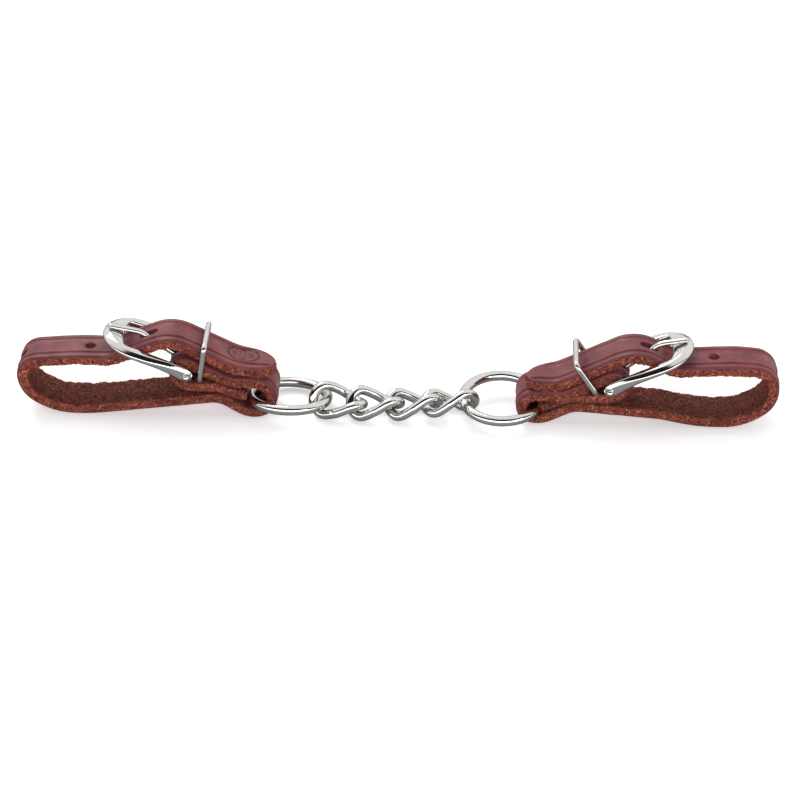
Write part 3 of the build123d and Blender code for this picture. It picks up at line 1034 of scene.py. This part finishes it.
    def cutters(self) -> bpy.types.Object:
        """Everything that is punched out of the leather, as one object."""
        at, centre = self.centreline()
        length = float(at[-1])
        slope = np.gradient(centre, at, axis=0)
        parts = []
        angles = np.linspace(0, 2 * math.pi, 28, endpoint=False)
        for number in (1, 2):
            where = length - self.end.hole_from_tip - number * HOLE_SPACING
            middle = np.array([np.interp(where, at, column) for column in centre.T])
            along = np.array([np.interp(where, at, column) for column in slope.T])
            through = np.array((along[1], -along[0])) / np.linalg.norm(along)
            outline = np.stack([HOLE_RADIUS * np.cos(angles), HOLE_RADIUS * np.sin(angles)], axis=1)
            parts.append(self.prism(outline, middle, through, (-self.punch_reach, self.punch_reach)))
        bar, bend = np.array(self.end.bar_at), np.array(self.end.tongue_bend)
        shank = (bend - bar) / np.linalg.norm(bend - bar)
        cosine, radius = np.cos(angles), self.tongue_hole_radius
        over = cosine * radius + np.sign(cosine) * self.tongue_hole_straight + self.tongue_hole_shift
        slot = np.stack([over, np.sin(angles) * radius], axis=1)
        reach = float(np.linalg.norm(bend - bar))
        span = (reach - self.tongue_hole_behind, reach + self.tongue_hole_beyond)
        parts.append(self.prism(slot, bar, shank, span))
        room, half = self.eye_slot_room, self.eye_slot_half
        corners = np.array(((-room, -half), (room * 2.6, -half), (room * 2.6, half), (-room, half)))
        span = (-room, self.end.heel_nose - bar[0] + 4.5)
        parts.append(self.prism(corners, bar, np.array((1.0, 0.0)), span))
        objects = []
        for number, (points, faces) in enumerate(parts):
            objects.append(make_mesh(f"punch_{number}", self.end.place(points), faces,
                                     [Leather.CUT.value] * len(faces)))
        return joined("punches", objects)

    def nap(self, leather: bpy.types.Object) -> bpy.types.Object:
        """Loose fibres that stand out of the cut edges and the flesh side."""
        name = f"{self.end.side.word}_nap"
        return NapTree(self.finishes.nap).grow(leather, name, self.seed + self.end.side.value)

    def build(self) -> list:
        """Builds the leather and its nap.

        Returns:
            The finished pieces.
        """
        leather = self.shell()
        punches = self.cutters()
        for finish in (self.finishes.grain, self.finishes.cut, self.finishes.flesh):
            leather.data.materials.append(finish)
            punches.data.materials.append(finish)
        cut = leather.modifiers.new("punch", "BOOLEAN")
        cut.operation = "DIFFERENCE"
        cut.solver = "EXACT"
        cut.object = punches
        bake_modifiers(leather)
        bpy.data.objects.remove(punches)
        leather.data.set_sharp_from_angle(angle=math.radians(48))
        nap = self.nap(leather)
        body = f"{self.end.side.word}_strap"
        for piece in (leather, nap):
            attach(piece, body)
        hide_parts(f"{self.end.side.word}_strap")
        return [leather, nap]


class NapTree:
    """Geometry-nodes tree that scatters short bent fibres over raw leather."""

    def __init__(self, finish: bpy.types.Material) -> None:
        """Keeps the fibres' finish."""
        self.finish = finish

    def fibre(self) -> bpy.types.Object:
        """One bent three-sided fibre, a millimetre long, standing on the origin."""
        rows = ((0.0, -0.1, 0.11), (0.12, 0.45, 0.08), (0.42, 0.9, 0.015))
        points = []
        for lean, rise, radius in rows:
            for corner in range(3):
                angle = corner * 2 * math.pi / 3
                points.append((lean + radius * math.cos(angle), radius * math.sin(angle), rise))
        faces = grid_faces(3, 3, False) + end_caps(3, 3)
        return make_mesh("fibre", np.array(points), faces)

    def tree(self, fibre: bpy.types.Object) -> bpy.types.NodeTree:
        """Builds the node tree with inputs for density, length and seed."""
        tree = bpy.data.node_groups.new("leather_nap", "GeometryNodeTree")
        tree.interface.new_socket("Geometry", in_out="INPUT", socket_type="NodeSocketGeometry")
        for label, kind, default in (
                ("Density", "NodeSocketFloat", 1.0), ("Shortest", "NodeSocketFloat", 0.3),
                ("Longest", "NodeSocketFloat", 0.8), ("Seed", "NodeSocketInt", 0)):
            tree.interface.new_socket(label, in_out="INPUT", socket_type=kind).default_value = default
        tree.interface.new_socket("Geometry", in_out="OUTPUT", socket_type="NodeSocketGeometry")
        sheet = NodeSheet(tree)
        given, result = sheet.add("NodeGroupInput"), sheet.add("NodeGroupOutput")
        slot = sheet.add("GeometryNodeInputMaterialIndex").outputs[0]
        cut = sheet.add("FunctionNodeCompare", {2: slot, 3: Leather.CUT.value}, data_type="INT",
                        operation="EQUAL")
        thin = sheet.math("MULTIPLY", given.outputs["Density"], 0.3)
        where = sheet.add("GeometryNodeSwitch", {0: cut.outputs[0], 1: thin, 2: given.outputs["Density"]},
                          input_type="FLOAT")
        raw = sheet.add("FunctionNodeCompare", {2: slot, 3: Leather.GRAIN.value}, data_type="INT",
                        operation="GREATER_THAN")
        spots = sheet.add("GeometryNodeDistributePointsOnFaces", {
            "Mesh": given.outputs["Geometry"], "Selection": raw.outputs[0], "Density": where.outputs[0],
            "Seed": given.outputs["Seed"]})
        source = sheet.add("GeometryNodeObjectInfo", {"Object": fibre})
        size = sheet.add("FunctionNodeRandomValue", {
            2: given.outputs["Shortest"], 3: given.outputs["Longest"], "Seed": 5}, data_type="FLOAT")
        spin = sheet.add("FunctionNodeRandomValue", {
            0: (-0.9, -0.9, 0.0), 1: (0.9, 0.9, 6.2832), "Seed": 9}, data_type="FLOAT_VECTOR")
        standing = sheet.add("FunctionNodeRotateRotation", {
            0: spots.outputs["Rotation"], 1: spin.outputs[0]}, rotation_space="LOCAL")
        copies = sheet.add("GeometryNodeInstanceOnPoints", {
            "Points": spots.outputs["Points"], "Instance": source.outputs["Geometry"],
            "Rotation": standing.outputs[0], "Scale": size.outputs[1]})
        real = sheet.add("GeometryNodeRealizeInstances", {0: copies.outputs[0]})
        painted = sheet.add("GeometryNodeSetMaterial", {0: real.outputs[0], "Material": self.finish})
        tree.links.new(painted.outputs[0], result.inputs[0])
        return tree

    def grow(self, leather: bpy.types.Object, name: str, seed: int) -> bpy.types.Object:
        """Grows the nap on a piece.

        Args:
            leather: the piece that the fibres stand on.
            name: the nap's name.
            seed: fixes where the fibres stand.

        Returns:
            The fibres as one plain mesh.
        """
        fibre = self.fibre()
        tree = self.tree(fibre)
        nap = bpy.data.objects.new(name, leather.data.copy())
        bpy.context.scene.collection.objects.link(nap)
        modifier = nap.modifiers.new("nap", "NODES")
        modifier.node_group = tree
        values = {"Density": 4.5e6, "Shortest": 0.35, "Longest": 1.1, "Seed": seed}
        for item in tree.interface.items_tree:
            if item.in_out == "INPUT" and item.name in values:
                modifier[item.identifier] = values[item.name]
        bake_modifiers(nap)
        bpy.data.objects.remove(fibre)
        return nap


# ---- hardware --------------------------------------------------------------------------
@dataclass
class CurbRing:
    """Round welded ring."""

    end: StrapEnd
    finishes: Finishes
    weld: float = 0.07

    def build(self) -> bpy.types.Object:
        """Builds the ring, with the faint swelling of its weld."""
        angles = np.linspace(0, 2 * math.pi, 180, endpoint=False)
        line = np.stack([RING_RADIUS * np.cos(angles), RING_RADIUS * np.sin(angles), 0 * angles], axis=1)
        roll, pitch = self.end.ring_angles
        turn = turned(roll, self.end.side.value * pitch, 0)
        placed = self.end.place(line @ turn.T + np.array(self.end.ring_middle))
        upward = self.end.place(np.tile(turn @ np.array((0, 0, 1.0)), (len(line), 1)))
        swell = self.weld * np.exp(-(((np.abs(angles - 0.35)) / 0.07) ** 2))
        thick = RING_WIRE / 2 + swell
        name = f"{self.end.side.word}_ring_wire"
        ring = tube(name, placed, thick, thick, upward, closed=True, sides=36)
        ring.data.materials.append(self.finishes.steel)
        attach(ring, f"{self.end.side.word}_ring")
        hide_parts(f"{self.end.side.word}_ring")
        return ring


@dataclass
class CurbLink:
    """Twisted curb link, bent from one wire and welded in the middle of one side."""

    number: int
    centre: tuple
    angles: tuple
    finishes: Finishes
    end_radius: float = 6.0
    span: float = 7.3
    twist: float = 46.0
    bow: float = 1.03
    weld: float = 0.09
    weld_reach: float = 0.8

    def corner(self, angle: float) -> np.ndarray:
        """Corner of the polygon round the link, by its angle about the right end curve."""
        outer = self.end_radius / math.cos(math.pi / 8)
        x = self.span / 2 + outer * math.cos(math.radians(angle))
        across = outer * math.sin(math.radians(angle))
        turn = math.radians(self.twist) * min(1, x / (self.span / 2 + 0.6 * self.end_radius))
        return np.array((x, across * math.cos(turn), -across * math.sin(turn)))

    def build(self) -> bpy.types.Object:
        """Builds the link in its place in the chain."""
        half = [np.array((0, -self.end_radius * self.bow, 0))]
        half += [self.corner(angle) for angle in (-67.5, -22.5, 22.5, 67.5)]
        about = np.array((-1, -1, 1))
        corners = [(*point, 30.0) for point in half + [point * about for point in half]]
        line = even_chain(rounded_chain(corners, closed=True), 0.1)[:-1]
        line = soften(line, 7.0, closed=True)[::4]
        turn = turned(*self.angles)
        weld = np.exp(-((np.linalg.norm(line - half[0], axis=1) / self.weld_reach) ** 2))
        thick = LINK_WIRE / 2 + self.weld * weld
        placed = line @ turn.T + np.array(self.centre)
        upward = np.cross(np.roll(placed, -1, axis=0) - placed, placed - placed.mean(axis=0))
        link = tube(f"curb_link_{self.number}", placed, thick, thick, upward, closed=True, sides=32)
        link.data.materials.append(self.finishes.steel)
        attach(link, f"chain_link_{self.number}")
        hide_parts(f"chain_link_{self.number}")
        return link


@dataclass
class Buckle:
    """Buckle: cast frame with a wide crescent, heel bar with peened ends, and a bent tongue."""

    end: StrapEnd
    finishes: Finishes
    length: float = 35.0
    crescent: float = 8.0
    thickness: float = 2.8
    inner_half: float = 8.6
    heel_half: float = 11.0
    widest_half: float = 13.6
    rim_reach: float = 13.5
    bow: float = 1.5
    lug_height: float = 2.4
    lug_reach: float = 10.0

    def seat(self, local: np.ndarray) -> np.ndarray:
        """Places points of the frame's own plane (x from the bar, y across, z above it)."""
        bar = np.array(self.end.bar_at)
        onward, above = unit(self.end.frame_slope), unit(90 + self.end.frame_slope)
        lift = local[:, 2] + self.bow * np.sin(math.pi * np.clip(local[:, 0] / self.length, 0, 1))
        flat = bar + local[:, 0:1] * onward + lift[:, None] * above
        return self.end.place(np.stack([flat[:, 0], local[:, 1], flat[:, 1]], axis=1))

    def outlines(self) -> tuple[np.ndarray, np.ndarray]:
        """Matching points along the frame's inner and outer outlines, in its plane."""
        round_at, reach = self.length - self.rim_reach, self.length - self.crescent
        sweep = np.linspace(math.pi / 2, -math.pi / 2, 60)
        rim = np.stack([round_at + self.rim_reach * np.cos(sweep), self.widest_half * np.sin(sweep)], axis=1)
        heel = self.heel_half
        arm = np.array(((-2.0, heel - 0.2), (3.0, heel + 0.1), (10.0, 12.1), (16.0, 13.4)))
        outer = np.concatenate([arm, rim, arm[::-1] * (1, -1)])
        outer = soften(even_chain(outer, 0.3), 7.0)
        h = self.inner_half
        inner = rounded_chain(((-2.0, h, 0), (reach - 0.9, h, 1.7), (reach, 2.6, 7.0), (reach, -2.6, 7.0),
                               (reach - 0.9, -h, 1.7), (-2.0, -h, 0)))
        inner = soften(even_chain(inner, 0.2), 3.0)
        shares = np.concatenate([np.linspace(0, 0.30, 40, endpoint=False),
                                 np.linspace(0.30, 0.70, 90, endpoint=False), np.linspace(0.70, 1.0, 41)])
        inner_shares = np.interp(shares, (0, 0.30, 0.5, 0.70, 1), (0, 0.34, 0.5, 0.66, 1))
        return (resample(inner, inner_shares * arc_lengths(inner)[-1]),
                resample(outer, shares * arc_lengths(outer)[-1]))

    def section(self, width: float, height: float, bevel: float) -> np.ndarray:
        """Rounded section of the frame between its two outlines.

        Args:
            width: distance from the inner outline to the outer one.
            height: thickness there.
            bevel: width of the outer bevel.

        Returns:
            Points (share of the width, height) round the section.
        """
        low, top = -height / 2, height / 2
        corners = ((0.3, low, 0.5), (width - 0.5, low, 0.6), (width, low + 0.8, 0.5),
                   (width, top - 1.3, 0.4), (width - bevel, top, 0.5), (min(0.6, 0.3 * width), top, 0.3),
                   (0.0, top - 0.6, 0.4), (0.0, low + 0.5, 0.4))
        ring = even_chain(rounded_chain(corners, closed=True), 0.05)[:-1]
        at = np.linspace(0, arc_lengths(ring)[-1], 40, endpoint=False)
        ring = resample(ring, at)
        crown = 0.22 * np.sin(math.pi * np.clip(ring[:, 0] / width, 0, 1)) * (ring[:, 1] > 0)
        return np.stack([ring[:, 0] / width, ring[:, 1] + crown], axis=1)

    def make_frame(self) -> bpy.types.Object:
        """Builds the cast frame."""
        inner, outer = self.outlines()
        rows = []
        count = len(inner)
        for index, (near, far) in enumerate(zip(inner, outer)):
            width = float(np.linalg.norm(far - near))
            from_bar = max(0.0, float((near[0] + far[0]) / 2))
            height = self.thickness + self.lug_height * math.exp(-((from_bar / self.lug_reach) ** 2))
            ring = self.section(width, height, min(1.9, 0.42 * width))
            edge = min(index, count - 1 - index)
            close = math.sin(math.acos(1 - min(1.0, (edge + 0.35) / 5.0)))
            flat = near + ((ring[:, :1] - 0.5) * close + 0.5) * (far - near)
            rows.append(np.concatenate([flat, ring[:, 1:] * close], axis=1))
        columns = len(rows[0])
        faces = grid_faces(count, columns, False) + end_caps(count, columns)
        return make_mesh(f"{self.end.side.word}_frame_casting", self.seat(np.concatenate(rows)), faces)

    def make_bar(self) -> bpy.types.Object:
        """Builds the heel bar with a ball at each end."""
        ball, at = 1.5, self.heel_half + 0.15
        angles = np.linspace(0.12, math.pi * 0.78, 9)
        profile = [(-at - ball * math.cos(a), ball * math.sin(a)) for a in angles]
        profile += [(-self.heel_half + 0.35, 1.2), (-self.inner_half + 0.2, BAR_RADIUS)]
        profile += [(-y, radius) for y, radius in profile[::-1]]
        u, z = self.end.bar_at
        centre = self.end.place(np.array((u, 0.0, z)))
        return lathe(f"{self.end.side.word}_bar_pin", profile, centre)

    def make_tongue(self) -> bpy.types.Object:
        """Builds the tongue: an eye round the bar, a steep shank and a flattened end."""
        bar, bend = np.array(self.end.bar_at), np.array(self.end.tongue_bend)
        over = self.thickness / 2 + TONGUE_WIRE / 2 + 0.1
        slope, above = unit(self.end.frame_slope), unit(90 + self.end.frame_slope)
        tip = bar + slope * (self.length - 0.9) + above * over
        start = bar + (bend - bar) / np.linalg.norm(bend - bar) * 2.9
        flat = even_chain(rounded_chain(((*start, 0), (*bend, 5.0), (*tip, 0))), 0.25)
        flat = soften(flat, 3.0)
        line = np.stack([flat[:, 0], 0 * flat[:, 0], flat[:, 1]], axis=1)
        line, share = rounded_ends(line, TONGUE_WIRE / 2)
        along = arc_lengths(line) / arc_lengths(line)[-1]
        spread = np.clip((along - 0.62) / 0.38, 0, 1)
        wide = TONGUE_WIRE / 2 * share * (1.18 + 0.24 * spread)
        high = TONGUE_WIRE / 2 * share * (1.05 - 0.20 * spread)
        upward = np.tile((0.0, 0.0, 1.0), (len(line), 1)) + np.array((-0.6, 0, 0))
        shank = tube(f"{self.end.side.word}_tongue_wire", self.end.place(line), wide, high,
                     self.end.place(upward))
        bore, rim = BAR_RADIUS + 0.06, BAR_RADIUS + 1.5
        corners = ((-1.4, bore, 0.5), (-1.4, rim, 0.7), (1.4, rim, 0.7), (1.4, bore, 0.5))
        ring = rounded_chain(corners, closed=True)
        u, z = self.end.bar_at
        eye = lathe("tongue_eye", [tuple(row) for row in ring], self.end.place(np.array((u, 0.0, z))))
        return joined(f"{self.end.side.word}_tongue_wire", [shank, eye])

    def build(self) -> list:
        """Builds the buckle's pieces.

        Returns:
            The frame, the bar and the tongue.
        """
        word = self.end.side.word
        made = ((self.make_frame(), f"{word}_buckle", f"{word}_buckle_frame"),
                (self.make_bar(), f"{word}_buckle", f"{word}_heel_bar"),
                (self.make_tongue(), f"{word}_tongue", f"{word}_tongue"))
        for piece, body, node in made:
            piece.data.materials.append(self.finishes.steel)
            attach(piece, body)
            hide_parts(node)
        return [piece for piece, _, _ in made]


@dataclass
class Keeper:
    """Rectangular wire loop that holds the strap's tip down."""

    end: StrapEnd
    finishes: Finishes
    height: float = 15.0
    side_play: float = 0.6
    corner: float = 1.9

    def build(self) -> bpy.types.Object:
        """Builds the keeper, with an open seam in its lower side."""
        wide = HALF_WIDTH + self.side_play + KEEPER_WIRE / 2
        seam = 0.12
        outline = ((seam, 0, 0), (wide, 0, self.corner), (wide, self.height, self.corner),
                   (-wide, self.height, self.corner), (-wide, 0, self.corner), (-seam, 0, 0))
        flat = soften(even_chain(rounded_chain(outline), 0.1), 4.0)
        up = unit(90 + self.end.keeper_tilt)
        base = np.array(self.end.keeper_at)
        line = np.stack([base[0] + flat[:, 1] * up[0], flat[:, 0], base[1] + flat[:, 1] * up[1]], axis=1)
        line, share = rounded_ends(line, KEEPER_WIRE / 2)
        thick = KEEPER_WIRE / 2 * share
        aside = np.tile((up[1], 0.0, -up[0]), (len(line), 1))
        name = f"{self.end.side.word}_keeper_wire"
        keeper = tube(name, self.end.place(line), thick, thick, self.end.place(aside))
        keeper.data.materials.append(self.finishes.steel)
        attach(keeper, f"{self.end.side.word}_keeper")
        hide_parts(f"{self.end.side.word}_keeper")
        return keeper


# ---- studio ----------------------------------------------------------------------------
@dataclass
class Studio:
    """White table, soft lights and the camera."""

    azimuth: float = 2.3
    elevation: float = 33.0
    distance: float = 1.0
    target: tuple = (0.0011, 0.0, 0.0045)
    focal: float = 117.0
    sky_strength: float = 2.6
    sky_bands: tuple = ((0.03, 0.6), (0.06, 1.0), (0.19, 1.0), (0.215, 0.006), (0.40, 0.006),
                        (0.43, 0.36), (0.60, 0.42), (0.90, 0.40), (0.98, 0.25))
    table_half: float = 6.0
    table_glow: float = 0.32
    table_mirrored: tuple = (0.36, 0.36, 0.37, 1)

    def floor(self) -> None:
        """Lays the white table, which glows faintly and shows grey where metal mirrors it."""
        mesh = bpy.data.meshes.new("table_top")
        half = self.table_half
        mesh.from_pydata([(-half, -half, 0), (half, -half, 0), (half, half, 0), (-half, half, 0)], [],
                         [(0, 1, 2, 3)])
        table = bpy.data.objects.new("table_top", mesh)
        bpy.context.scene.collection.objects.link(table)
        material, sheet, shader = principled("white_table")
        place = sheet.add("ShaderNodeTexCoord").outputs["Object"]
        cloud = sheet.add("ShaderNodeTexNoise", {"Vector": place, "Scale": 3.0})
        tone = sheet.mix(cloud.outputs["Fac"], (0.93, 0.93, 0.93, 1), (0.96, 0.96, 0.96, 1))
        sheet.feed(shader, {"Base Color": tone, "Roughness": 0.9, "Specular IOR Level": 0.0,
                            "Emission Color": (1, 1, 1, 1), "Emission Strength": self.table_glow})
        mesh.materials.append(material)
        grey = sheet.add("ShaderNodeBsdfDiffuse", {"Color": self.table_mirrored})
        rays = sheet.add("ShaderNodeLightPath")
        seen = sheet.add("ShaderNodeMixShader", {0: rays.outputs["Is Glossy Ray"], 1: shader.outputs[0],
                                                 2: grey.outputs[0]})
        sheet.feed(material.node_tree.nodes["Material Output"], {0: seen.outputs[0]})

    def light(self, name: str, place: tuple, size: tuple, power: float) -> None:
        """Hangs one soft rectangular light that faces the object.

        Args:
            name: the light's name.
            place: where it hangs, in metres.
            size: its width and height.
            power: its strength in watts.
        """
        data = bpy.data.lights.new(name, "AREA")
        data.shape = "RECTANGLE"
        data.size, data.size_y = size
        data.energy = power
        lamp = bpy.data.objects.new(name, data)
        lamp.location = place
        direction = np.array(self.target) - np.array(place)
        lamp.rotation_euler = self.aim(direction)
        bpy.context.scene.collection.objects.link(lamp)

    def aim(self, direction: np.ndarray) -> tuple[float, float, float]:
        """Euler angles that point an object's -Z along a direction with its top upwards."""
        flat = math.hypot(direction[0], direction[1])
        return (math.atan2(flat, -direction[2]), 0.0, math.atan2(-direction[0], direction[1]))

    def sky(self) -> None:
        """Pale surroundings, darker low down, so that metal shows dark and bright bands."""
        world = bpy.data.worlds.new("soft_room")
        world.use_nodes = True
        bpy.context.scene.world = world
        sheet = NodeSheet(world.node_tree)
        place = sheet.add("ShaderNodeTexCoord").outputs["Generated"]
        parts = sheet.add("ShaderNodeSeparateXYZ", {0: place})
        toward = sheet.math("MULTIPLY", parts.outputs[1], -1.0)
        angle = sheet.math("ARCTAN2", parts.outputs[2], toward)
        ramp = sheet.add("ShaderNodeValToRGB", {0: sheet.spread(angle, 0.0, math.pi)})
        stops = ramp.color_ramp.elements
        stops[0].position, stops[0].color = 0.0, (0.10, 0.10, 0.10, 1)
        stops[1].position, stops[1].color = 1.0, (0.03, 0.03, 0.03, 1)
        for where, tone in self.sky_bands:
            stops.new(where).color = (tone, tone, tone, 1)
        sheet.feed(world.node_tree.nodes["Background"], {"Color": ramp.outputs[0],
                                                         "Strength": self.sky_strength})

    def camera(self) -> None:
        """Sets the camera."""
        turn, lift = math.radians(self.azimuth), math.radians(self.elevation)
        level = math.cos(lift)
        offset = np.array((math.sin(turn) * level, -math.cos(turn) * level, math.sin(lift)))
        data = bpy.data.cameras.new("camera")
        data.lens = self.focal
        data.sensor_width = 36.0
        data.clip_start = 0.01
        camera = bpy.data.objects.new("camera", data)
        camera.location = np.array(self.target) + self.distance * offset
        camera.rotation_euler = self.aim(-offset)
        bpy.context.scene.collection.objects.link(camera)
        bpy.context.scene.camera = camera

    def build(self) -> None:
        """Sets up the table, the lights and the camera."""
        self.camera()
        self.floor()
        self.sky()
        self.light("key", (-0.5, 0.9, 1.2), (0.8, 0.5), 7.5)
        self.light("fill", (0.9, -0.9, 0.5), (0.5, 0.5), 2.5)
        bpy.context.scene.view_settings.view_transform = "Standard"


def main() -> None:
    """Builds the whole strap and its studio."""
    logging.basicConfig(level=logging.INFO)
    finishes = Finishes.make()
    Studio().build()
    made = []
    for end in (LEFT_END, RIGHT_END):
        made += LeatherStrap(end, finishes).build()
        made.append(CurbRing(end, finishes).build())
        made += Buckle(end, finishes).build()
        made.append(Keeper(end, finishes).build())
        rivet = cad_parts[f"{end.side.word}_rivet"]
        rivet.data.materials.clear()
        rivet.data.materials.append(finishes.steel)
    for number, (centre, angles) in enumerate(LINK_PLACES, start=1):
        made.append(CurbLink(number, centre, angles, finishes).build())
    for piece in made:
        LOG.info("%s: %d faces", piece.name, len(piece.data.polygons))


if __name__ == "__main__":
    main()
